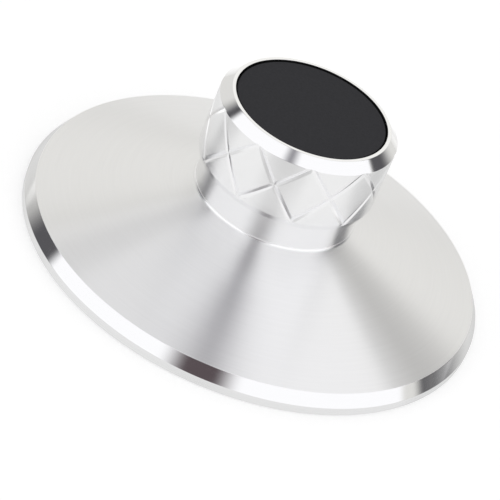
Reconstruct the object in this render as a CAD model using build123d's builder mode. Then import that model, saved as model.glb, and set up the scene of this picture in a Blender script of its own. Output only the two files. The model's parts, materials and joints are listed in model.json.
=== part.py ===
from build123d import *
import math
import os

# Record weight: one turned aluminium body with a black disc set into the top of its knob.
# Millimetres, +Z up, origin at the centre of the face that rests on the record.

os.makedirs("parts", exist_ok=True)

# Base disc: edge wall, polished bevel and shallow cone
disc_diameter = 80.0
underside_edge_break = 0.2
edge_wall_height = 1.6
edge_bevel_width = 1.28
edge_bevel_height = 2.08
cone_rise = 8.85

# Knob: bevelled lower edge, polished rim bevel, and the flat ring round the recess
knob_diameter = 30.8
knob_height = 13.1
lower_bevel_width = 0.3
lower_bevel_height = 0.9
rim_bevel_width = 1.65
rim_bevel_height = 1.54
rim_land_width = 0.6

# Neck between the cone and the knob
knob_overhang = 1.5  # of the knob past the neck, on the radius
neck_height = 5.5
neck_foot_round = 0.6

# Crossed shallow V grooves round the knob, as many one way as the other
groove_pairs = 10
groove_width = 0.95
groove_depth = 0.12
groove_rise = 10.9  # height in which a groove moves on by one place round the knob
middle_crossing_height = 6.45  # of the middle row of crossings, above the knob's lower face
middle_crossing_azimuth = 15.0  # of one crossing in that row, in degrees from +X
groove_runout = 1.5  # of the cutter, past the lower face and past the top of the knob

# Black disc that lies in the recess
inlay_thickness = 1.0
inlay_edge_chamfer = 0.15
inlay_clearance = 0.3  # on the radius
inlay_set_down = 0.2  # of the disc's face below the rim's face

# Blind hole for the turntable's spindle
spindle_diameter = 7.1
spindle_clearance = 0.1  # on the radius
bore_depth = 15.0
bore_mouth_chamfer = 0.6
drill_point_angle = 118.0

# Radii and heights that follow
disc_radius = disc_diameter / 2
knob_radius = knob_diameter / 2
neck_radius = knob_radius - knob_overhang
recess_radius = knob_radius - rim_bevel_width - rim_land_width
inlay_radius = recess_radius - inlay_clearance
bore_radius = spindle_diameter / 2 + spindle_clearance
drill_point_height = bore_radius / math.tan(math.radians(drill_point_angle / 2))

cone_foot = edge_wall_height + edge_bevel_height
cone_top = cone_foot + cone_rise
knob_bottom = cone_top + neck_height
knob_top = knob_bottom + knob_height
rim_foot = knob_top - rim_bevel_height
inlay_top = knob_top - inlay_set_down
recess_floor = inlay_top - inlay_thickness

groove_step = 360 / groove_pairs
groove_start = knob_bottom - groove_runout
groove_length = knob_height + 2 * groove_runout
groove_pitch = groove_rise * groove_pairs
crossing_level = knob_bottom + middle_crossing_height
groove_lead_in = (crossing_level - groove_start) / groove_rise * groove_step


def groove_cutter(left_hand):
    """The V of one groove, twice as tall as the groove is deep, carried up a helix on the knob's surface."""
    with BuildPart() as cutter:
        with BuildLine() as path:
            Helix(groove_pitch, groove_length, knob_radius, center=(0, 0, groove_start), lefthand=left_hand)
        across = Plane(origin=path.line @ 0, x_dir=(1, 0, 0), z_dir=path.line % 0)
        with BuildSketch(across):
            with BuildLine():
                Polyline(
                    (-groove_depth, 0),
                    (groove_depth, groove_width),
                    (groove_depth, -groove_width),
                    close=True,
                )
            make_face()
        sweep(path=path.line, is_frenet=True)
    return cutter.part


right_hand_cutter = groove_cutter(left_hand=False)
left_hand_cutter = groove_cutter(left_hand=True)

# Turned aluminium body
with BuildPart() as weight_body:
    with BuildSketch(Plane.XZ) as section:
        with BuildLine():
            Polyline(
                (0, bore_depth + drill_point_height),
                (bore_radius, bore_depth),
                (bore_radius, bore_mouth_chamfer),
                (bore_radius + bore_mouth_chamfer, 0),
                (disc_radius - underside_edge_break, 0),
                (disc_radius, underside_edge_break),
                (disc_radius, edge_wall_height),
                (disc_radius - edge_bevel_width, cone_foot),
                (neck_radius, cone_top),
                (neck_radius, knob_bottom),
                (knob_radius - lower_bevel_width, knob_bottom),
                (knob_radius, knob_bottom + lower_bevel_height),
                (knob_radius, rim_foot),
                (knob_radius - rim_bevel_width, knob_top),
                (recess_radius, knob_top),
                (recess_radius, recess_floor),
                (0, recess_floor),
                close=True,
            )
        make_face()
        neck_foot = section.vertices().sort_by_distance((neck_radius, cone_top))[0]
        fillet(neck_foot, radius=neck_foot_round)
    revolve(axis=Axis.Z)
    with PolarLocations(0, groove_pairs, start_angle=middle_crossing_azimuth - groove_lead_in):
        add(right_hand_cutter, mode=Mode.SUBTRACT)
    with PolarLocations(0, groove_pairs, start_angle=middle_crossing_azimuth + groove_lead_in):
        add(left_hand_cutter, mode=Mode.SUBTRACT)
weight_body.part.label = "weight_body"
export_step(weight_body.part, "parts/weight_body.step")

# Black disc, glued to the floor of the recess
with BuildPart() as top_inlay:
    with BuildSketch(Plane.XY.offset(recess_floor)):
        Circle(inlay_radius)
    extrude(amount=inlay_thickness)
    chamfer(top_inlay.faces().sort_by(Axis.Z)[-1].edges(), length=inlay_edge_chamfer)
top_inlay.part.label = "top_inlay"
export_step(top_inlay.part, "parts/top_inlay.step")
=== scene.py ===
import json
import math

import bpy
import numpy as np
from mathutils import Matrix, Vector


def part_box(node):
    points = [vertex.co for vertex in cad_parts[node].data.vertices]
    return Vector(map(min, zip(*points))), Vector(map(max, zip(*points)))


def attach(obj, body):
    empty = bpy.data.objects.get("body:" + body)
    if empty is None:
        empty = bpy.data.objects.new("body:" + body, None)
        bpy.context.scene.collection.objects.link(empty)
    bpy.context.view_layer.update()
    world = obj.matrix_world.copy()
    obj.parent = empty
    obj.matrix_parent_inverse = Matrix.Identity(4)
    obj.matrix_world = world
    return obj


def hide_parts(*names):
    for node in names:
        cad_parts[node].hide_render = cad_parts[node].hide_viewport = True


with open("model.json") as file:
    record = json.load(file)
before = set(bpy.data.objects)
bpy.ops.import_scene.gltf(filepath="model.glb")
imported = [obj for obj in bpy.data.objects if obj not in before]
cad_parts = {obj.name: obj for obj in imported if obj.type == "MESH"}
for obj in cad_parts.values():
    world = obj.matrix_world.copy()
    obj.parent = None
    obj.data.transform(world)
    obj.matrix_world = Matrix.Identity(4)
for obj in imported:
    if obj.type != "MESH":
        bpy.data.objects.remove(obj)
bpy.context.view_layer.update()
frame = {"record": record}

bl_info = {
    "name": "Record weight",
    "version": (1, 0, 0),
    "blender": (4, 5, 0),
    "location": "View3D > Sidebar > Record weight",
    "description": "A turned aluminium record weight with a black disc in its knob, on a white studio floor",
    "category": "Add Mesh",
}

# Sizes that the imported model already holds, in metres
MM = 0.001
body_low, body_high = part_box("weight_body")
inlay_low, inlay_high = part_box("top_inlay")
spindle_bore = next(mount for mount in frame["record"]["mounts"] if mount["name"] == "spindle_bore")

# Finishes of the body, in the order of its material slots
# The last finish, of the recess, is dried glue and painted shade: near black for the shadow in the gap round
# the disc
FINE_TURNED, SATIN_TURNED, POLISHED, GRIP, GROOVE, GLUE_AND_PAINTED_SHADE = range(6)

# Fineness of the meshes
COLUMNS_PER_PLACE = 46  # round one place of the groove pattern, which makes a groove's half width 3 columns
ARC_STEPS = 5  # rows on a rounded corner
RUN_OUT_ROWS = 8  # where a groove runs out into a bevel
RUN_OUT_REACH = 1.2  # of those rows, in depths of the groove
LATTICE_ROOM = 0.2  # that rows of the lattice keep from the ends of the grip, in steps of the lattice
SUPPORT_GAP = 0.05 * MM  # from a rounded corner to the row that holds the shading flat
SHARP_ANGLE = math.radians(28)  # an edge that turns by more is shaded sharp
ROUNDING = 1e-4 * MM  # less than this is no depth
DISC_COLUMNS = 240  # round the black disc

# Grain of the finishes
NOISE_RANGE = (0.25, 0.75)  # that nearly all of the turning marks' noise lies in
GLUE_BLOT = 0.5 * MM
GLUE_ROUGHNESS = (0.6, 0.9)
GLUE_GLOSS = 0.2  # specular level
INLAY_GRAIN = 0.35 * MM  # coarser than the real grain, so that it shows
INLAY_GRAIN_HEIGHT = 0.02 * MM
INLAY_SHADES = (0.7, 1.3)  # of the grain's hollows and tips, as parts of the rubber's colour
INLAY_GLOSS = 0.25  # specular level

WHITE = (1, 1, 1, 1)
# Softboxes: azimuth from the camera and elevation in degrees, width and height in metres
SOFTBOXES = {
    "softbox_left": dict(azimuth=-50, elevation=32, width=0.9, height=0.7),
    "softbox_right": dict(azimuth=60, elevation=42, width=1.0, height=0.9),
    "softbox_back": dict(azimuth=180, elevation=38, width=0.9, height=0.5),
}
# Soft patches of the tent, as metal sees them: the tint, the middle in degrees, and the cosines of the
# angle from there at which the patch starts and is full
TENT_PATCHES = {
    "front_sheet": ("front_tint", dict(azimuth=2, elevation=33, start=-0.05, full=0.04)),
    "back_sheet": ("sheet_tint", dict(azimuth=180, elevation=34, start=0.965, full=0.995)),
    "roof_right": ("front_tint", dict(azimuth=112, elevation=70, start=0.885, full=0.95)),
    "roof_left": ("front_tint", dict(azimuth=-110, elevation=70, start=0.908, full=0.928)),
}
# Openings beside the tent, in degrees: a low and a high part on the left (-1) and on the right (1). Each
# has a near edge, a line up to which it is darkest and one where it is gone, given as the azimuth at the
# horizon, the lean with each degree of height and, where there is one, the height above which the edge is
# upright. Then come its top and its foot.
SIDE_OPENINGS = (
    dict(side=-1, near=(80, 0.57, 35), darkest=(100, 0.2), gone=(129, -0.28), top=33, foot=-19),
    dict(side=-1, near=(100, 0.0), darkest=(90, 0.5), gone=(90, 0.62), top=55.5, foot=8),
    dict(side=1, near=(105, 0.32), darkest=(122, 0.12), gone=(146, 0.0), top=33, foot=-19),
    dict(side=1, near=(114.5, 0.0), darkest=(131, 0.0), gone=(145, 0.0), top=48, foot=8),
)
NEAR_SOFTNESS = 4.0  # of those openings' edges, in degrees
TOP_SOFTNESS = 1.5
FOOT_SOFTNESS = 25.0
# Ovals in front, as parts of a unit direction: the opening for the camera, and the stand below it
CAMERA_OPENING = dict(middle=0.46, half_width=0.212, half_height=0.21, softness=0.55)
CAMERA_STAND = dict(middle=0.06, half_width=0.36, half_height=0.17, softness=0.25)
# Gap in the roof: widths as parts of a unit direction, middle and extent in degrees
ROOF_GAP = dict(half_width=0.078, narrowing=-0.008, elevation=81.5, extent=38.5, softness=0.082)

# The floor, in metres
FLOOR_HALF_WIDTH = 4.0
FLOOR_DROP = 0.02 * MM  # keeps the floor clear of the underside
PAPER_IOR = 1.45
PAPER_ROUGHNESS = 0.1  # of what it mirrors at a slant
# Where the painted glow that metal sees on the floor grows brighter: distances towards the camera, and
# behind that from the axis
FLOOR_FRONT = (-0.005, 0.025)
FLOOR_FAR = (0.056, 0.066)
# Round shades that metal sees on the floor: the middle, and the radii where a shade is full and gone
FLOOR_SHADES = (
    dict(x=0.16, y=0.08, full=0.10, gone=0.143, depth=0.34),
    dict(x=-0.16, y=0.08, full=0.07, gone=0.11, depth=0.50),
    dict(x=-0.075, y=-0.01, full=0.015, gone=0.03, depth=0.25),
    dict(x=0.054, y=0.0, full=0.004, gone=0.014, depth=0.1),
    dict(x=-0.054, y=0.0, full=0.004, gone=0.014, depth=0.07),
    dict(x=0.0, y=0.0, full=0.041, gone=0.046, depth=0.10),
)
# Shade that the camera's stand leaves there: degrees from the middle where it is full and gone, then the
# distances at which it starts and is deepest
CAMERA_SHADE = dict(full=17, gone=28, start=0.045, deepest=0.07, depth=0.24)

CAMERA_CLIP = (0.01, 50.0)  # nearest and furthest that the camera sees, in metres


def linear(hex_colour):
    """sRGB hex to linear: c / 12.92 up to 0.04045, and ((c + 0.055) / 1.055) ** 2.4 above."""
    c = np.frombuffer(bytes.fromhex(hex_colour.lstrip("#")), np.uint8) / 255
    return tuple(np.where(c <= 0.04045, c / 12.92, ((c + 0.055) / 1.055) ** 2.4).tolist())


def length(name, description, default):
    """A size in metres, shown as a length."""
    shown = {"unit": "LENGTH", "subtype": "DISTANCE", "precision": 5}
    return bpy.props.FloatProperty(name=name, description=description, default=default, min=0.0, **shown)


def angle(name, description, degrees):
    """An angle, written here in degrees."""
    default = math.radians(degrees)
    shown = {"unit": "ROTATION", "subtype": "ANGLE"}
    return bpy.props.FloatProperty(name=name, description=description, default=default, **shown)


def share(name, description, default):
    """A number from 0 to 1."""
    shown = {"subtype": "FACTOR", "precision": 3, "max": 1.0}
    return bpy.props.FloatProperty(name=name, description=description, default=default, min=0.0, **shown)


def level(name, description, default):
    """A level of light, where 1 is white."""
    shown = {"precision": 3}
    return bpy.props.FloatProperty(name=name, description=description, default=default, min=0.0, **shown)


def colour(name, description, hex_colour):
    """A colour, written here as sRGB hex and kept linear."""
    default = linear(hex_colour)
    shown = {"subtype": "COLOR", "size": 3, "min": 0.0, "max": 1.0}
    return bpy.props.FloatVectorProperty(name=name, description=description, default=default, **shown)


class RecordWeightSizes(bpy.types.PropertyGroup):
    """Sizes of the turned body and of the black disc."""

    disc_diameter: length("Disc diameter", "Across the base disc", body_high.x - body_low.x)
    height: length("Height", "From the underside to the rim", body_high.z)
    edge_break: length("Edge break", "Chamfer under the disc's edge", 0.2 * MM)
    edge_wall_height: length("Edge wall height", "Upright wall at the disc's edge", 1.6 * MM)
    edge_bevel_width: length("Edge bevel width", "Polished bevel of the disc, inwards", 1.28 * MM)
    edge_bevel_height: length("Edge bevel height", "Polished bevel of the disc, upwards", 2.08 * MM)
    cone_rise: length("Cone rise", "From the bevel to the foot of the neck", 8.85 * MM)
    neck_height: length("Neck height", "From the cone to the knob", 5.5 * MM)
    neck_foot_round: length("Neck foot round", "Fillet between cone and neck", 0.6 * MM)
    knob_diameter: length("Knob diameter", "Across the grip", 30.8 * MM)
    knob_overhang: length("Knob overhang", "Of the knob past the neck, on the radius", 1.5 * MM)
    lower_bevel_width: length("Lower bevel width", "Bevel under the grip, inwards", 0.3 * MM)
    lower_bevel_height: length("Lower bevel height", "Bevel under the grip, upwards", 0.9 * MM)
    rim_bevel_width: length("Rim bevel width", "Polished bevel of the rim, inwards", 1.65 * MM)
    rim_bevel_height: length("Rim bevel height", "Polished bevel of the rim, upwards", 1.54 * MM)
    rim_land_width: length("Rim land width", "Flat ring round the recess", 0.6 * MM)
    recess_floor: length("Recess floor", "Height that the black disc lies at", inlay_low.z)
    edge_round: length("Edge round", "Small round left on every turned edge", 0.1 * MM)
    groove_pairs: bpy.props.IntProperty(
        name="Groove pairs", description="Grooves that lean each way round the grip", default=10, min=1
    )
    groove_width: length("Groove width", "Across the groove, at the grip's surface", 0.95 * MM)
    groove_depth: length("Groove depth", "Of the groove's bottom below the grip's surface", 0.12 * MM)
    groove_rise: length("Groove rise", "Height in which a groove moves on by one place", 10.9 * MM)
    crossing_height: length("Crossing height", "Of the middle crossings, above the knob's foot", 6.45 * MM)
    crossing_azimuth: angle("Crossing azimuth", "Of one middle crossing, from +X", 15.0)
    bore_diameter: length("Bore diameter", "Hole for the spindle", 2 * spindle_bore["dims"]["r_mm"] * MM)
    bore_depth: length(
        "Bore depth",
        "From the underside to the drill's shoulder",
        spindle_bore["pos_m"][2] + spindle_bore["dims"]["length_mm"] * MM / 2,
    )
    bore_mouth: length("Bore mouth", "Chamfer at the mouth of the hole", 0.6 * MM)
    drill_point_angle: angle("Drill point angle", "Of the hole's end", 118.0)
    inlay_diameter: length("Inlay diameter", "Across the black disc", inlay_high.x - inlay_low.x)
    inlay_thickness: length("Inlay thickness", "Of the black disc", inlay_high.z - inlay_low.z)
    inlay_edge_round: length("Inlay edge round", "Upper edge of the black disc", 0.15 * MM)
    inlay_foot_round: length("Inlay foot round", "Lower edge of the black disc", 0.05 * MM)


class RecordWeightFinishes(bpy.types.PropertyGroup):
    """Colours and surface finishes."""

    aluminium: colour("Aluminium", "Bare aluminium, polished", "#F1F1F1")
    turned_aluminium: colour("Turned aluminium", "Bare aluminium with its fine turning marks", "#FAFAFA")
    inlay: colour("Inlay", "Black rubber", "#2C2C2F")
    # Near black of the recess: dried glue, and painted shade for the gap round the disc
    glue_and_painted_shade: colour("Glue and painted shade", "Dried adhesive in the recess, with painted shade in the gap", "#0C0C0D")
    satin_roughness: share("Satin roughness", "Of the cone", 0.30)
    satin_lay: share("Satin lay", "How much the cone's turning marks stretch a highlight", 1.0)
    fine_roughness: share("Fine turned roughness", "Of the neck and the edge wall", 0.2)
    fine_lay: share("Fine turned lay", "How much the fine marks stretch a highlight", 0.6)
    polished_roughness: share("Polished roughness", "Of the bevels", 0.07)
    grip_roughness: share("Grip roughness", "Of the lands between the grooves", 0.2)
    grip_lay: share("Grip lay", "How much the grip's turning marks stretch a highlight", 0.4)
    groove_roughness: share("Groove roughness", "Of the groove walls", 0.14)
    inlay_roughness: share("Inlay roughness", "Of the black disc", 0.85)


class RecordWeightStudio(bpy.types.PropertyGroup):
    """Camera, floor and light."""

    camera_elevation: angle("Camera elevation", "Above the floor", 34.0)
    camera_roll: angle("Camera roll", "Turn of the picture about the line of sight", 23.215)
    camera_distance: length("Camera distance", "From the centre of the underside", 0.543)
    camera_lift: length("Camera lift", "Along the camera's own upward axis", 0.69 * MM)
    lens: bpy.props.FloatProperty(
        name="Lens", description="Focal length on a 36 mm sensor", default=232.3, unit="CAMERA"
    )
    sheet_tint: colour("Sheet tint", "Of the white sheets at the sides and behind", "#FFFEFB")
    front_tint: colour("Front tint", "Of the white sheets in front and overhead", "#FDFDFF")
    opening_tint: colour("Opening tint", "Of what shows through the side openings and the roof", "#F9F7FF")
    camera_tint: colour("Camera tint", "Of what shows through the opening for the camera", "#FFE6EF")
    sheets: level("Sheets", "White sheets at the sides, as metal sees them", 0.81)
    front_sheet: level("Front sheet", "White sheet beside the camera, as metal sees it", 1.145)
    back_sheet: level("Back sheet", "White sheet behind the object, as metal sees it", 1.02)
    roof_right: level("Right roof", "Right half of the roof, as metal sees it", 0.985)
    roof_left: level("Left roof", "Left half of the roof, as metal sees it", 0.757)
    roof_gap: level("Roof gap", "Gap between the two halves of the roof, as metal sees it", 0.36)
    opening: level("Opening", "Openings beside the sheets, as metal sees them", 0.11)
    stand: level("Stand", "The camera's stand, as metal sees it", 0.66)
    fill: level("Fill", "The whole tent, as light on matt surfaces", 0.75)
    softbox_left: level("Left softbox", "Brightness on top of the sheets", 0.3)
    softbox_right: level("Right softbox", "Brightness on top of the sheets", 0.3)
    softbox_back: level("Back softbox", "Brightness on top of the sheets", 0.25)
    softbox_distance: length("Softbox distance", "From the object", 0.75)
    floor: colour("Floor", "White sheet that the object stands on", "#E7E7E7")
    # What metal sees of the floor is a painted glow: painted shade close behind the object, painted light
    # further off and in front
    floor_metal: level("Floor in metal", "The floor close behind the object, as metal sees it", 0.78)
    floor_front: level("Floor in front", "The floor in front of the object, as metal sees it", 0.90)
    floor_far: level("Floor further off", "The floor further behind the object, as metal sees it", 1.22)
    floor_white: level("Floor white", "Added where the camera sees the floor", 0.32)


def section_rows(corners, rounds):
    """Rows of a turned section with each inner corner rounded, and the run that follows each row.

    A corner that turns by t, with the radius r, has an arc that starts r tan(t / 2) before it. The arc's
    point at the angle a is that start, plus r sin(a) along the way in, plus r (1 - cos(a)) square to it on
    the side of the turn. One support row before and one after each arc keep the turn of the shading on it.
    """
    run = np.diff(corners, axis=0)
    run_length = np.linalg.norm(run, axis=1)
    along = run / run_length[:, None]
    way_in = along[:-1]
    way_out = along[1:]
    cross = way_in[:, 0] * way_out[:, 1] - way_in[:, 1] * way_out[:, 0]
    turn = np.arctan2(cross, (way_in * way_out).sum(1))
    square = np.stack((-way_in[:, 1], way_in[:, 0]), 1) * np.sign(turn)[:, None]
    trim = rounds * np.tan(np.abs(turn) / 2)
    start = corners[1:-1] - way_in * trim[:, None]
    swing = (np.abs(turn)[:, None] * np.linspace(0, 1, ARC_STEPS))[:, :, None]
    bend = np.sin(swing) * way_in[:, None] + (1 - np.cos(swing)) * square[:, None]
    arc = start[:, None] + rounds[:, None, None] * bend
    free = run_length - np.append(0, trim) - np.append(trim, 0)
    hold = np.minimum(SUPPORT_GAP, free / 4)[:, None]
    before = arc[:, 0] - hold[:-1] * way_in
    after = arc[:, -1] + hold[1:] * way_out
    rows = np.concatenate((before[:, None], arc, after[:, None]), axis=1)
    next_run = np.arange(len(rows))[:, None] + (np.arange(rows.shape[1]) > ARC_STEPS // 2)
    return rows.reshape(-1, 2), next_run.ravel()


def fill_run(rows, next_run, run, heights, room):
    """Adds rows at the given heights to the straight stretch of a run, but none within room of its ends.

    Their radius changes evenly with height from one end of the stretch to the other. Runs are filled last
    to first.
    """
    at = run * (ARC_STEPS + 2)
    low = rows[at - 1]
    high = rows[at]
    heights = heights[(heights > low[1] + room) & (heights < high[1] - room)]
    radius = np.interp(heights, (low[1], high[1]), (low[0], high[0]))
    rows = np.concatenate((rows[:at], np.stack((radius, heights), axis=-1), rows[at:]))
    next_run = np.concatenate((next_run[:at], np.full(len(heights), run), next_run[at:]))
    return rows, next_run


def ring_points(radius, height, azimuth, first_pole, last_pole):
    """Points of stacked rings between two poles: (r cos a, r sin a, z) at each row and column."""
    x = radius * np.cos(azimuth)
    y = radius * np.sin(azimuth)
    z = np.broadcast_to(height[:, None], x.shape)
    rings = np.stack((x, y, z), axis=-1).reshape(-1, 3)
    return np.concatenate(([(0, 0, first_pole)], rings, [(0, 0, last_pole)]))


def ring_corners(rows, columns):
    """Corners a, b, c, d of each cell of two rows and two columns: a to b goes round, b to c goes on."""
    point = 1 + np.arange(rows * columns).reshape(rows, columns)
    beside = np.roll(point, -1, axis=1)
    return point[:-1], beside[:-1], beside[1:], point[1:]


def pole_fans(rows, columns):
    """Triangles that close the first ring with the first pole and the last ring with the last pole."""
    first = 1 + np.arange(columns)
    last = first + (rows - 1) * columns
    low = np.stack((np.zeros_like(first), np.roll(first, -1), first), axis=-1)
    high = np.stack((last, np.roll(last, -1), np.full_like(last, rows * columns + 1)), axis=-1)
    return low, high


def new_piece(name, points, faces, finishes, materials, node):
    """One closed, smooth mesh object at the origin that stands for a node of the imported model."""
    mesh = bpy.data.meshes.new(name)
    sizes = np.concatenate([np.full(len(group), group.shape[1]) for group in faces])
    loops = np.concatenate([group.ravel() for group in faces])
    mesh.vertices.add(len(points))
    mesh.vertices.foreach_set("co", points.astype(np.float32).ravel())
    mesh.loops.add(len(loops))
    mesh.loops.foreach_set("vertex_index", loops.astype(np.int32))
    mesh.polygons.add(len(sizes))
    mesh.polygons.foreach_set("loop_start", (np.cumsum(sizes) - sizes).astype(np.int32))
    for material in materials:
        mesh.materials.append(material)
    mesh.polygons.foreach_set("material_index", np.concatenate(finishes).astype(np.int32))
    mesh.update(calc_edges=True)
    if mesh.validate():
        raise RuntimeError(f"{name}: the mesh had faults")
    mesh.shade_smooth()
    mesh.set_sharp_from_angle(angle=SHARP_ANGLE)
    piece = bpy.data.objects.new(name, mesh)
    bpy.context.scene.collection.objects.link(piece)
    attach(piece, "root")
    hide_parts(node)


def add_node(tree, kind, sockets=None, **settings):
    """Adds one shader node. A socket takes a constant, or another node's output as a link."""
    made = tree.nodes.new(kind)
    for key, value in settings.items():
        setattr(made, key, value)
    for key, value in (sockets or {}).items():
        if isinstance(value, bpy.types.NodeSocket):
            tree.links.new(value, made.inputs[key])
        else:
            made.inputs[key].default_value = value
    return made


def new_material(name):
    """An empty node material and its tree."""
    material = bpy.data.materials.new(name)
    material.use_nodes = True
    material.node_tree.nodes.clear()
    return material, material.node_tree


def scaled(tint, factor):
    """A colour times a factor, with an alpha of 1."""
    return (*(channel * factor for channel in tint), 1)


def turning_marks(tree, spacing, waves):
    """Noise drawn out into rings, from 0 to 1.

    The noise is read at (waves cos a, waves sin a, (r - z) / spacing): it changes once per spacing along
    the section, and only slowly round the axis.
    """
    place = add_node(tree, "ShaderNodeTexCoord").outputs["Object"]
    flat = {0: place, 1: (1, 1, 0)}
    level_part = add_node(tree, "ShaderNodeVectorMath", flat, operation="MULTIPLY").outputs[0]
    radius = add_node(tree, "ShaderNodeVectorMath", {0: level_part}, operation="LENGTH").outputs["Value"]
    height = add_node(tree, "ShaderNodeSeparateXYZ", {0: place}).outputs["Z"]
    along = add_node(tree, "ShaderNodeMath", {0: radius, 1: height}, operation="SUBTRACT").outputs[0]
    ring = add_node(tree, "ShaderNodeMath", {0: along, 1: 1 / spacing}, operation="MULTIPLY").outputs[0]
    ring_axis = add_node(tree, "ShaderNodeCombineXYZ", {"Z": ring}).outputs[0]
    round_axis = add_node(tree, "ShaderNodeVectorMath", {0: level_part}, operation="NORMALIZE").outputs[0]
    circle = {0: round_axis, "Scale": waves}
    slow = add_node(tree, "ShaderNodeVectorMath", circle, operation="SCALE").outputs[0]
    where = add_node(tree, "ShaderNodeVectorMath", {0: slow, 1: ring_axis}, operation="ADD").outputs[0]
    noise = {"Vector": where, "Scale": 1.0, "Detail": 2.0, "Roughness": 0.6}
    return add_node(tree, "ShaderNodeTexNoise", noise).outputs["Fac"]


def turned_metal(name, base, roughness, lay=0.0, spacing=0.25 * MM, waves=8, tint=0.03, spread=0.03):
    """Bare metal with turning marks.

    Real marks are about 0.05 to 0.1 mm apart, and spacing is coarser, so that they show. tint is how far
    they darken the colour, and spread how far they change the roughness either way. lay stretches
    highlights across the marks, so the tangent is turned a quarter from the way round the axis.
    """
    material, tree = new_material(name)
    marks = turning_marks(tree, spacing, waves)
    shades = {"Factor": marks, "A": scaled(base, 1 - tint), "B": scaled(base, 1)}
    shade = add_node(tree, "ShaderNodeMix", shades, data_type="RGBA").outputs["Result"]
    low, high = NOISE_RANGE
    change = {"Value": marks, "From Min": low, "From Max": high}
    change |= {"To Min": roughness - spread, "To Max": roughness + spread}
    rough = add_node(tree, "ShaderNodeMapRange", change).outputs["Result"]
    round_axis = add_node(tree, "ShaderNodeTangent", direction_type="RADIAL", axis="Z").outputs["Tangent"]
    metal = {
        "Base Color": shade,
        "Metallic": 1.0,
        "Roughness": rough,
        "Anisotropic": lay,
        "Anisotropic Rotation": 0.25,
        "Tangent": round_axis,
    }
    surface = add_node(tree, "ShaderNodeBsdfPrincipled", metal).outputs["BSDF"]
    add_node(tree, "ShaderNodeOutputMaterial", {"Surface": surface})
    return material


def glue_and_painted_shade_material(finish):
    """Contact adhesive, dried to a dull black film, with painted shade: the recess is painted near black, so
    that the narrow gap round the disc reads as a dark line, as its shadow would.
    """
    material, tree = new_material("Contact adhesive, dried black")
    place = add_node(tree, "ShaderNodeTexCoord").outputs["Object"]
    noise = add_node(tree, "ShaderNodeTexNoise", {"Vector": place, "Scale": 1 / GLUE_BLOT}).outputs["Fac"]
    low, high = GLUE_ROUGHNESS
    change = {"Value": noise, "To Min": low, "To Max": high}
    rough = add_node(tree, "ShaderNodeMapRange", change).outputs["Result"]
    film = {"Base Color": scaled(finish.glue_and_painted_shade, 1), "Roughness": rough, "Specular IOR Level": GLUE_GLOSS}
    surface = add_node(tree, "ShaderNodeBsdfPrincipled", film).outputs["BSDF"]
    add_node(tree, "ShaderNodeOutputMaterial", {"Surface": surface})
    return material


def body_materials(finish):
    """The body's finishes, in the order FINE_TURNED, SATIN_TURNED, POLISHED, GRIP, GROOVE, GLUE_AND_PAINTED_SHADE."""
    polished = finish.aluminium
    turned = finish.turned_aluminium
    return [
        # A clean fine cut on the neck, the edge wall and below: soft reflections, with hardly a mark to see
        turned_metal("Aluminium, fine turned", turned, finish.fine_roughness, finish.fine_lay),
        # Close rings on the cone: each light or dark place is drawn out into a streak from neck to edge
        turned_metal(
            "Aluminium, satin turned",
            turned,
            finish.satin_roughness,
            finish.satin_lay,
            spacing=0.4 * MM,
            waves=2.5,
            tint=0.06,
            spread=0.02,
        ),
        # Bevels cut with a diamond: nearly a mirror, white with sharp dark bands
        turned_metal(
            "Aluminium, diamond turned",
            polished,
            finish.polished_roughness,
            waves=6,
            tint=0.02,
            spread=0.02,
        ),
        # The grip between its grooves, turned like the neck: an even pale grey with soft reflections
        turned_metal("Aluminium, turned grip", turned, finish.grip_roughness, finish.grip_lay),
        # Walls of the grooves, cut bright by the mill: one catches the light and the other the dark
        turned_metal("Aluminium, milled groove", turned, finish.groove_roughness, waves=20),
        # Dried glue with painted shade: the recess is painted near black, so the gap round the disc reads as
        # a dark line
        glue_and_painted_shade_material(finish),
    ]


def inlay_material(finish):
    """Black rubber, moulded matt: hardly any gloss, and a fine grain breaks up what little there is."""
    material, tree = new_material("Rubber, moulded matt black")
    place = add_node(tree, "ShaderNodeTexCoord").outputs["Object"]
    speckle = {"Vector": place, "Scale": 1 / INLAY_GRAIN, "Detail": 3.0, "Roughness": 0.6}
    noise = add_node(tree, "ShaderNodeTexNoise", speckle).outputs["Fac"]
    hollow, tip = INLAY_SHADES
    shades = {"Factor": noise, "A": scaled(finish.inlay, hollow), "B": scaled(finish.inlay, tip)}
    shade = add_node(tree, "ShaderNodeMix", shades, data_type="RGBA").outputs["Result"]
    relief = {"Height": noise, "Distance": INLAY_GRAIN_HEIGHT, "Strength": 0.5}
    bump = add_node(tree, "ShaderNodeBump", relief).outputs["Normal"]
    rubber = {
        "Base Color": shade,
        "Roughness": finish.inlay_roughness,
        "Specular IOR Level": INLAY_GLOSS,
        "Normal": bump,
    }
    surface = add_node(tree, "ShaderNodeBsdfPrincipled", rubber).outputs["BSDF"]
    add_node(tree, "ShaderNodeOutputMaterial", {"Surface": surface})
    return material


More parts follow.
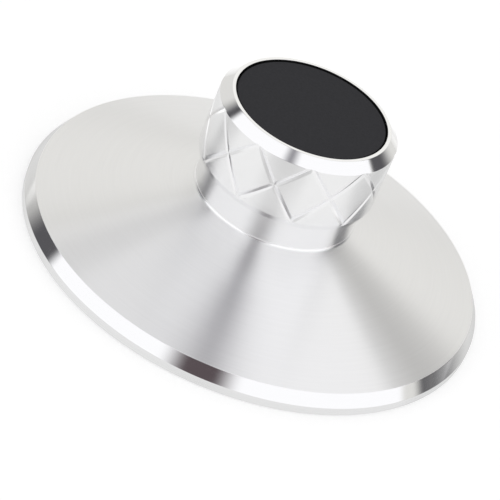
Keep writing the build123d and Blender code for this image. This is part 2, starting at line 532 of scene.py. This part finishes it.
def body_outline(size):
    """Corners of the body's half section, from the drill point round to the middle of the recess.

    Each is (radius, height, round of the corner, finish of the run that follows).
    """
    disc = size.disc_diameter / 2
    knob = size.knob_diameter / 2
    neck = knob - size.knob_overhang
    land = knob - size.rim_bevel_width
    recess = land - size.rim_land_width
    bore = size.bore_diameter / 2
    drill_point = size.bore_depth + bore / math.tan(size.drill_point_angle / 2)
    cone_foot = size.edge_wall_height + size.edge_bevel_height
    cone_top = cone_foot + size.cone_rise
    knob_bottom = cone_top + size.neck_height
    rim_foot = size.height - size.rim_bevel_height
    edge = size.edge_round
    recess_edge = edge / 2
    return [
        (0.0, drill_point, 0.0, FINE_TURNED),
        (bore, size.bore_depth, edge, FINE_TURNED),
        (bore, size.bore_mouth, edge, FINE_TURNED),
        (bore + size.bore_mouth, 0.0, edge, FINE_TURNED),
        (disc - size.edge_break, 0.0, edge, FINE_TURNED),
        (disc, size.edge_break, edge, FINE_TURNED),
        (disc, size.edge_wall_height, edge, POLISHED),
        (disc - size.edge_bevel_width, cone_foot, edge, SATIN_TURNED),
        (neck, cone_top, size.neck_foot_round, FINE_TURNED),
        (neck, knob_bottom, edge, FINE_TURNED),
        (knob - size.lower_bevel_width, knob_bottom, edge, POLISHED),
        (knob, knob_bottom + size.lower_bevel_height, edge, GRIP),
        (knob, rim_foot, edge, POLISHED),
        (land, size.height, edge, POLISHED),
        # Recess wall and floor: dried glue, painted near black as shade in the gap round the disc
        (recess, size.height, recess_edge, GLUE_AND_PAINTED_SHADE),
        (recess, size.recess_floor, recess_edge, GLUE_AND_PAINTED_SHADE),
        (0.0, size.recess_floor, 0.0, GLUE_AND_PAINTED_SHADE),
    ]


def body_rows(size, corners, rounds, grip, crossing):
    """Rows of the body's section, and the run that follows each row, with more rows round the grip's run.

    Rows of the grip lie on the lattice that the grooves climb: one row up for one column round. The bevels
    above and below have close rows as far as the grooves run out into them.
    """
    rows, next_run = section_rows(corners, rounds)
    lattice = size.groove_rise / COLUMNS_PER_PLACE
    climb = crossing + lattice * np.arange(-COLUMNS_PER_PLACE, COLUMNS_PER_PLACE)
    run_out = size.groove_depth * np.linspace(0, RUN_OUT_REACH, RUN_OUT_ROWS)
    above = corners[grip + 1, 1] + run_out * size.rim_bevel_height / size.rim_bevel_width
    below = corners[grip, 1] - run_out[::-1] * size.lower_bevel_height / size.lower_bevel_width
    rows, next_run = fill_run(rows, next_run, grip + 1, above, 0.0)
    rows, next_run = fill_run(rows, next_run, grip, climb, LATTICE_ROOM * lattice)
    return fill_run(rows, next_run, grip - 1, below, 0.0)


def groove_depths(size, climb, turn):
    """Depth of the V grooves at each row and column: those that lean right, then those that lean left.

    climb is the height above the middle crossings, in rises of a groove, and turn is the way round, in
    places of the pattern. A groove's middle is where turn - climb, or turn + climb, is a whole number. Its
    depth falls evenly from there to nothing at half its width, measured round the knob in whole columns.
    """
    place_width = math.pi * size.knob_diameter / size.groove_pairs
    lean = math.atan2(place_width, size.groove_rise)
    half_columns = round(size.groove_width / 2 / math.cos(lean) / place_width * COLUMNS_PER_PLACE)
    place = np.stack((turn - climb[:, None], turn + climb[:, None]))
    aside = np.abs(place - np.round(place)) / (half_columns / COLUMNS_PER_PLACE)
    return size.groove_depth * np.maximum(1 - aside, 0)


def split_cells(a, b, c, d, slant):
    """Two triangles for each cell, which meet along the groove that is deeper there.

    slant is the depth of the groove that leans right less that of the other. Where it adds up to 0 or more
    over the cell's corners, the cell is split from a to c, and elsewhere from b to d.
    """
    beside = np.roll(slant, -1, axis=1)
    leans_right = slant[:-1] + beside[:-1] + slant[1:] + beside[1:] >= 0
    a_to_c = np.stack((np.stack((a, b, c), -1), np.stack((a, c, d), -1)), 2)
    b_to_d = np.stack((np.stack((a, b, d), -1), np.stack((b, c, d), -1)), 2)
    return np.where(leans_right[:, :, None, None], a_to_c, b_to_d)


class RECORDWEIGHT_OT_body(bpy.types.Operator):
    """Turn the aluminium body and cut the crossed grooves into its knob"""

    bl_idname = "record_weight.body"
    bl_label = "Turned body"

    def execute(self, context):
        size = context.scene.record_weight_sizes
        outline = body_outline(size)
        corners = np.array([corner[:2] for corner in outline])
        rounds = np.array([corner[2] for corner in outline[1:-1]])
        finish_of_run = np.array([corner[3] for corner in outline])
        grip = int(np.argmax(finish_of_run == GRIP))
        crossing = corners[grip - 1, 1] + size.crossing_height
        rows, next_run = body_rows(size, corners, rounds, grip, crossing)
        on_knob = (next_run >= grip - 2) & (next_run <= grip + 1)

        # On the knob, the radius is that of the section or of the deeper groove, whichever is less
        columns = COLUMNS_PER_PLACE * size.groove_pairs
        turn = np.arange(columns) / COLUMNS_PER_PLACE
        right, left = groove_depths(size, (rows[:, 1] - crossing) / size.groove_rise, turn)
        grooved = size.knob_diameter / 2 - np.maximum(right, left)
        radius = np.minimum(rows[:, :1], np.where(on_knob[:, None], grooved, np.inf))
        azimuth = size.crossing_azimuth + turn * 2 * math.pi / size.groove_pairs
        points = ring_points(radius, rows[:, 1], azimuth, corners[0, 1], corners[-1, 1])

        # Cells of the knob are split in two, and the others stay whole
        cells = ring_corners(len(rows), columns)
        split = on_knob[:-1] & on_knob[1:]
        triangles = split_cells(*cells, right - left)[split]
        whole = np.stack(cells, -1)[~split]
        low, high = pole_fans(len(rows), columns)
        faces = [triangles.reshape(-1, 3), whole.reshape(-1, 4), low, high]

        # A cell has the finish of its run, but a triangle with a corner in a groove has the groove's
        cell_finish = np.broadcast_to(finish_of_run[next_run[:-1]][:, None], cells[0].shape)
        sunk = (radius < rows[:, :1] - ROUNDING).ravel()
        finishes = [
            np.where(sunk[triangles - 1].any(-1), GROOVE, cell_finish[split][:, :, None]).ravel(),
            cell_finish[~split].ravel(),
            np.full(columns, FINE_TURNED),
            np.full(columns, GLUE_AND_PAINTED_SHADE),
        ]
        materials = body_materials(context.scene.record_weight_finishes)
        new_piece("turned_body", points, faces, finishes, materials, "weight_body")
        return {"FINISHED"}


class RECORDWEIGHT_OT_inlay(bpy.types.Operator):
    """Make the black disc that lies in the top of the knob"""

    bl_idname = "record_weight.inlay"
    bl_label = "Black disc"

    def execute(self, context):
        size = context.scene.record_weight_sizes
        edge = size.inlay_diameter / 2
        bottom = size.recess_floor
        top = bottom + size.inlay_thickness
        corners = np.array([(0, bottom), (edge, bottom), (edge, top), (0, top)])
        rows, _ = section_rows(corners, np.array([size.inlay_foot_round, size.inlay_edge_round]))
        azimuth = np.linspace(0, 2 * math.pi, DISC_COLUMNS, endpoint=False)
        radius = np.broadcast_to(rows[:, :1], (len(rows), DISC_COLUMNS))
        points = ring_points(radius, rows[:, 1], azimuth, bottom, top)
        whole = np.stack(ring_corners(len(rows), DISC_COLUMNS), -1).reshape(-1, 4)
        faces = [whole, *pole_fans(len(rows), DISC_COLUMNS)]
        finishes = [np.zeros(len(group), int) for group in faces]
        material = inlay_material(context.scene.record_weight_finishes)
        new_piece("black_disc", points, faces, finishes, [material], "top_inlay")
        return {"FINISHED"}


def towards(azimuth, elevation):
    """Unit direction; azimuth 0 is towards the camera, at -Y, and grows towards +X."""
    return Vector((
        math.sin(azimuth) * math.cos(elevation),
        -math.cos(azimuth) * math.cos(elevation),
        math.sin(elevation),
    ))


def tent_patch(tree, direction, azimuth, elevation, start, full):
    """How far a direction lies in a soft round patch, from 0 to 1.

    It is the cosine of the angle from the patch's middle, smoothed between start and full.
    """
    middle = towards(math.radians(azimuth), math.radians(elevation))
    angle_from = {0: direction, 1: middle}
    near = add_node(tree, "ShaderNodeVectorMath", angle_from, operation="DOT_PRODUCT").outputs["Value"]
    edge = {"Value": near, "From Min": start, "From Max": full}
    return add_node(tree, "ShaderNodeMapRange", edge, interpolation_type="SMOOTHSTEP").outputs[0]


def leaning_edge(tree, elevation, at_horizon, lean, upright=90.0):
    """Azimuth of an edge: that at the horizon plus lean times the elevation, up to where it is upright."""
    limit = {0: elevation, 1: math.radians(upright)}
    height = add_node(tree, "ShaderNodeMath", limit, operation="MINIMUM").outputs[0]
    turn = {0: height, 1: lean, 2: math.radians(at_horizon)}
    return add_node(tree, "ShaderNodeMath", turn, operation="MULTIPLY_ADD").outputs[0]


def side_opening(tree, direction, side, near, darkest, gone, top, foot):
    """Where an opening beside the tent shows, from 0 to 1.

    The azimuth is the arc tangent of x over -y and the elevation the arc sine of z. The opening is the
    product of four smooth steps: its near edge, its far side from gone to darkest, its top and its foot.
    """
    part = add_node(tree, "ShaderNodeSeparateXYZ", {0: direction}).outputs
    forward = add_node(tree, "ShaderNodeMath", {0: part["Y"], 1: -1.0}, operation="MULTIPLY").outputs[0]
    aside = {0: part["X"], 1: float(side)}
    sideways = add_node(tree, "ShaderNodeMath", aside, operation="MULTIPLY").outputs[0]
    azimuth = add_node(tree, "ShaderNodeMath", {0: sideways, 1: forward}, operation="ARCTAN2").outputs[0]
    elevation = add_node(tree, "ShaderNodeMath", {0: part["Z"]}, operation="ARCSINE").outputs[0]
    at_horizon, *lean = near
    near_start = leaning_edge(tree, elevation, at_horizon - NEAR_SOFTNESS, *lean)
    near_full = leaning_edge(tree, elevation, at_horizon + NEAR_SOFTNESS, *lean)
    edges = (
        (azimuth, near_start, near_full),
        (azimuth, leaning_edge(tree, elevation, *gone), leaning_edge(tree, elevation, *darkest)),
        (elevation, math.radians(top + TOP_SOFTNESS), math.radians(top - TOP_SOFTNESS)),
        (elevation, math.radians(foot), math.radians(foot + FOOT_SOFTNESS)),
    )
    shows = 1.0
    for measure, start, full in edges:
        edge = {"Value": measure, "From Min": start, "From Max": full}
        step = add_node(tree, "ShaderNodeMapRange", edge, interpolation_type="SMOOTHSTEP").outputs[0]
        shows = add_node(tree, "ShaderNodeMath", {0: shows, 1: step}, operation="MULTIPLY").outputs[0]
    return shows


def front_oval(tree, direction, middle, half_width, half_height, softness):
    """Where the opening for the camera shows, or the stand below it, from 0 to 1.

    It is where the length of (x / half_width, 0, (z - middle) / half_height) is under 1, in front.
    """
    oval = {"Location": (0, 0, -middle / half_height), "Scale": (1 / half_width, 0, 1 / half_height)}
    place = add_node(tree, "ShaderNodeMapping", {"Vector": direction, **oval}).outputs[0]
    reach = add_node(tree, "ShaderNodeVectorMath", {0: place}, operation="LENGTH").outputs["Value"]
    edge = {"Value": reach, "From Min": 1 + softness, "From Max": 1 - softness}
    inside = add_node(tree, "ShaderNodeMapRange", edge, interpolation_type="SMOOTHSTEP").outputs[0]
    behind = add_node(tree, "ShaderNodeSeparateXYZ", {0: direction}).outputs["Y"]
    front = add_node(tree, "ShaderNodeMath", {0: behind, 1: 0.0}, operation="LESS_THAN").outputs[0]
    return add_node(tree, "ShaderNodeMath", {0: inside, 1: front}, operation="MULTIPLY").outputs[0]


def overhead_gap(tree, direction, half_width, narrowing, elevation, extent, softness):
    """Where the gap between the two halves of the roof shows, from 0 to 1.

    It is where the half width, less narrowing times y, less the size of x is over 0, within extent of its
    middle.
    """
    part = add_node(tree, "ShaderNodeSeparateXYZ", {0: direction}).outputs
    aside = add_node(tree, "ShaderNodeMath", {0: part["X"]}, operation="ABSOLUTE").outputs[0]
    width = {0: part["Y"], 1: -narrowing, 2: half_width}
    room = add_node(tree, "ShaderNodeMath", width, operation="MULTIPLY_ADD").outputs[0]
    inside = add_node(tree, "ShaderNodeMath", {0: room, 1: aside}, operation="SUBTRACT").outputs[0]
    edge = {"Value": inside, "From Min": -softness, "From Max": softness}
    across = add_node(tree, "ShaderNodeMapRange", edge, interpolation_type="SMOOTHSTEP").outputs[0]
    limit = math.cos(math.radians(extent))
    along = tent_patch(tree, direction, 0, elevation, limit - softness, limit + softness)
    return add_node(tree, "ShaderNodeMath", {0: across, 1: along}, operation="MULTIPLY").outputs[0]


def rays_seen(tree):
    """1 for camera rays, and 1 for glossy and transmission rays."""
    rays = add_node(tree, "ShaderNodeLightPath").outputs
    shiny = {0: rays["Is Glossy Ray"], 1: rays["Is Transmission Ray"]}
    to_metal = add_node(tree, "ShaderNodeMath", shiny, operation="MAXIMUM").outputs[0]
    return rays["Is Camera Ray"], to_metal


def white_tent(scene, studio):
    """White sheets all round, with openings that only metal sees. The camera sees plain white.

    The areas are laid over the sheets one after another, each by how far it shows in a direction.
    """
    world = bpy.data.worlds.new("White tent")
    world.use_nodes = True
    tree = world.node_tree
    tree.nodes.clear()
    direction = add_node(tree, "ShaderNodeTexCoord").outputs["Generated"]
    areas = [
        (tent_patch(tree, direction, **place), getattr(studio, name), getattr(studio, tint))
        for name, (tint, place) in TENT_PATCHES.items()
    ]
    areas.append((overhead_gap(tree, direction, **ROOF_GAP), studio.roof_gap, studio.opening_tint))
    areas.append((front_oval(tree, direction, **CAMERA_STAND), studio.stand, studio.front_tint))
    areas.append((front_oval(tree, direction, **CAMERA_OPENING), studio.opening, studio.camera_tint))
    for edges in SIDE_OPENINGS:
        areas.append((side_opening(tree, direction, **edges), studio.opening, studio.opening_tint))
    tone = scaled(studio.sheet_tint, studio.sheets)
    for shows, brightness, tint in areas:
        over = {"Factor": shows, "A": tone, "B": scaled(tint, brightness)}
        tone = add_node(tree, "ShaderNodeMix", over, data_type="RGBA").outputs["Result"]
    sheets = add_node(tree, "ShaderNodeBackground", {"Color": tone, "Strength": 1.0})
    fill = add_node(tree, "ShaderNodeBackground", {"Color": WHITE, "Strength": studio.fill})
    white = add_node(tree, "ShaderNodeBackground", {"Color": WHITE, "Strength": 1.0})
    to_camera, to_metal = rays_seen(tree)
    light = add_node(tree, "ShaderNodeMixShader", {0: to_metal, 1: fill.outputs[0], 2: sheets.outputs[0]})
    shown = add_node(tree, "ShaderNodeMixShader", {0: to_camera, 1: light.outputs[0], 2: white.outputs[0]})
    add_node(tree, "ShaderNodeOutputWorld", {"Surface": shown.outputs[0]})
    scene.world = world


def round_shade(tree, place, x, y, full, gone, depth):
    """Depth of a soft round shade on the floor, smoothed by the distance from its middle."""
    reach = {0: place, 1: (x, y, 0)}
    away = add_node(tree, "ShaderNodeVectorMath", reach, operation="DISTANCE").outputs["Value"]
    fall = {"Value": away, "From Min": gone, "From Max": full, "To Max": depth}
    return add_node(tree, "ShaderNodeMapRange", fall, interpolation_type="SMOOTHSTEP").outputs[0]


def camera_shade(tree, place, full, gone, start, deepest, depth):
    """Depth of the wedge of shade in front of the object.

    It is a smooth step of the angle of (x, -y) from the middle, times a ramp of the distance from the axis.
    """
    part = add_node(tree, "ShaderNodeSeparateXYZ", {0: place}).outputs
    forward = add_node(tree, "ShaderNodeMath", {0: part["Y"], 1: -1.0}, operation="MULTIPLY").outputs[0]
    turn = add_node(tree, "ShaderNodeMath", {0: part["X"], 1: forward}, operation="ARCTAN2").outputs[0]
    aside = add_node(tree, "ShaderNodeMath", {0: turn}, operation="ABSOLUTE").outputs[0]
    edge = {"Value": aside, "From Min": math.radians(gone), "From Max": math.radians(full)}
    across = add_node(tree, "ShaderNodeMapRange", edge, interpolation_type="SMOOTHSTEP").outputs[0]
    away = add_node(tree, "ShaderNodeVectorMath", {0: place}, operation="LENGTH").outputs["Value"]
    rise = {"Value": away, "From Min": start, "From Max": deepest, "To Max": depth}
    along = add_node(tree, "ShaderNodeMapRange", rise).outputs[0]
    return add_node(tree, "ShaderNodeMath", {0: across, 1: along}, operation="MULTIPLY").outputs[0]


def painted_floor_level(tree, studio):
    """Level of the floor as metal sees it: a painted glow, with painted shade close behind the object and
    painted light further off.

    Behind the object it is a smooth step of the distance from the axis, and a smooth step of -y goes over
    from that to the level in front. The painted shades are then taken off.
    """
    place = add_node(tree, "ShaderNodeTexCoord").outputs["Object"]
    start, full = FLOOR_FAR
    away = add_node(tree, "ShaderNodeVectorMath", {0: place}, operation="LENGTH").outputs["Value"]
    rise = {"Value": away, "From Min": start, "From Max": full}
    rise |= {"To Min": studio.floor_metal, "To Max": studio.floor_far}
    level_behind = add_node(tree, "ShaderNodeMapRange", rise, interpolation_type="SMOOTHSTEP").outputs[0]
    start, full = FLOOR_FRONT
    behind = add_node(tree, "ShaderNodeSeparateXYZ", {0: place}).outputs["Y"]
    rise = {"Value": behind, "From Min": -start, "From Max": -full}
    rise |= {"To Min": level_behind, "To Max": studio.floor_front}
    seen = add_node(tree, "ShaderNodeMapRange", rise, interpolation_type="SMOOTHSTEP").outputs[0]
    shades = [round_shade(tree, place, **shade) for shade in FLOOR_SHADES]
    shades.append(camera_shade(tree, place, **CAMERA_SHADE))
    for shade in shades:
        seen = add_node(tree, "ShaderNodeMath", {0: seen, 1: shade}, operation="SUBTRACT").outputs[0]
    return seen


def floor_material(studio):
    """White paper with a smooth coat: plain white with the object's soft shadow, and no grain to see.

    It glows a little for the camera, so that it stays white. Metal sees in its place a painted glow, the
    floor's level with its painted light and shade, and, the flatter it looks along the floor, the more of
    what the smooth coat mirrors.
    """
    material, tree = new_material("Paper, white studio sheet")
    paper = add_node(tree, "ShaderNodeBsdfDiffuse", {"Color": scaled(studio.floor, 1)})
    glow = add_node(tree, "ShaderNodeEmission", {"Color": WHITE, "Strength": studio.floor_white})
    lit = add_node(tree, "ShaderNodeAddShader", {0: paper.outputs[0], 1: glow.outputs[0]})
    to_camera, to_metal = rays_seen(tree)
    shown = add_node(tree, "ShaderNodeMixShader", {0: to_camera, 1: paper.outputs[0], 2: lit.outputs[0]})
    # The floor as metal sees it: a painted glow, with painted light and painted shade
    plain = add_node(tree, "ShaderNodeEmission", {"Color": WHITE, "Strength": painted_floor_level(tree, studio)})
    gloss = add_node(tree, "ShaderNodeBsdfGlossy", {"Color": WHITE, "Roughness": PAPER_ROUGHNESS})
    slant = add_node(tree, "ShaderNodeFresnel", {"IOR": PAPER_IOR})
    coated = {0: slant.outputs[0], 1: plain.outputs[0], 2: gloss.outputs[0]}
    in_metal = add_node(tree, "ShaderNodeMixShader", coated)
    surface = {0: to_metal, 1: shown.outputs[0], 2: in_metal.outputs[0]}
    sheet = add_node(tree, "ShaderNodeMixShader", surface)
    add_node(tree, "ShaderNodeOutputMaterial", {"Surface": sheet.outputs[0]})
    return material


def white_floor(studio):
    """One flat square just under the object."""
    corners = np.array([(-1, -1), (1, -1), (1, 1), (-1, 1)]) * FLOOR_HALF_WIDTH
    points = np.column_stack((corners, np.full(len(corners), -FLOOR_DROP)))
    mesh = bpy.data.meshes.new("studio_floor")
    mesh.from_pydata(points, [], [(0, 1, 2, 3)])
    mesh.materials.append(floor_material(studio))
    floor = bpy.data.objects.new("studio_floor", mesh)
    bpy.context.scene.collection.objects.link(floor)


def softbox(name, brightness, distance, azimuth, elevation, width, height):
    """One rectangular softbox that faces the object. Its power is brightness times pi times its area.

    Metal doesn't mirror it: what metal sees is all in the tent.
    """
    lamp = bpy.data.lights.new(name, "AREA")
    lamp.shape = "RECTANGLE"
    lamp.size = width
    lamp.size_y = height
    lamp.energy = brightness * math.pi * width * height
    holder = bpy.data.objects.new(name, lamp)
    bpy.context.scene.collection.objects.link(holder)
    outward = towards(math.radians(azimuth), math.radians(elevation))
    turn = outward.to_track_quat("Z", "Y").to_matrix().to_4x4()
    holder.matrix_world = Matrix.Translation(outward * distance) @ turn
    holder.visible_camera = False
    holder.visible_glossy = False


def place_camera(scene, studio):
    """A long lens at the camera's elevation, rolled about its line of sight.

    Its right is cos(roll) times +X plus sin(roll) times the direction that is square to +X and to the line
    of sight, and its up is square to its right and to the line of sight.
    """
    back = towards(0, studio.camera_elevation)
    sideways = Vector((1, 0, 0))
    upward = back.cross(sideways)
    right = sideways * math.cos(studio.camera_roll) + upward * math.sin(studio.camera_roll)
    up = back.cross(right)
    camera = bpy.data.cameras.new("camera")
    camera.lens = studio.lens
    camera.clip_start, camera.clip_end = CAMERA_CLIP
    holder = bpy.data.objects.new("camera", camera)
    scene.collection.objects.link(holder)
    turn = Matrix((right, up, back)).transposed().to_4x4()
    holder.matrix_world = Matrix.Translation(back * studio.camera_distance + up * studio.camera_lift) @ turn
    scene.camera = holder


class RECORDWEIGHT_OT_stage(bpy.types.Operator):
    """Set up the white tent, the floor, three softboxes and the camera"""

    bl_idname = "record_weight.stage"
    bl_label = "Studio"

    def execute(self, context):
        studio = context.scene.record_weight_studio
        context.scene.view_settings.view_transform = "Standard"
        white_tent(context.scene, studio)
        white_floor(studio)
        for name, place in SOFTBOXES.items():
            softbox(name, getattr(studio, name), studio.softbox_distance, **place)
        place_camera(context.scene, studio)
        return {"FINISHED"}


class RECORDWEIGHT_PT_sidebar(bpy.types.Panel):
    """Sizes, finishes and studio of the record weight, with the steps that make it"""

    bl_idname = "RECORDWEIGHT_PT_sidebar"
    bl_label = "Record weight"
    bl_space_type = "VIEW_3D"
    bl_region_type = "UI"
    bl_category = "Record weight"

    def draw(self, context):
        for operator in OPERATORS:
            self.layout.operator(operator.bl_idname)
        for name in GROUPS:
            group = getattr(context.scene, name)
            box = self.layout.box()
            for key in group.bl_rna.properties.keys():
                if key not in ("rna_type", "name"):
                    box.prop(group, key)


GROUPS = {
    "record_weight_sizes": RecordWeightSizes,
    "record_weight_finishes": RecordWeightFinishes,
    "record_weight_studio": RecordWeightStudio,
}
OPERATORS = (RECORDWEIGHT_OT_stage, RECORDWEIGHT_OT_body, RECORDWEIGHT_OT_inlay)
CLASSES = (*GROUPS.values(), *OPERATORS, RECORDWEIGHT_PT_sidebar)


def register():
    for cls in CLASSES:
        bpy.utils.register_class(cls)
    for name, group in GROUPS.items():
        setattr(bpy.types.Scene, name, bpy.props.PointerProperty(type=group))


def unregister():
    for name in GROUPS:
        delattr(bpy.types.Scene, name)
    for cls in reversed(CLASSES):
        bpy.utils.unregister_class(cls)


def main():
    register()
    bpy.ops.record_weight.stage()
    bpy.ops.record_weight.body()
    bpy.ops.record_weight.inlay()


if __name__ == "__main__":
    main()
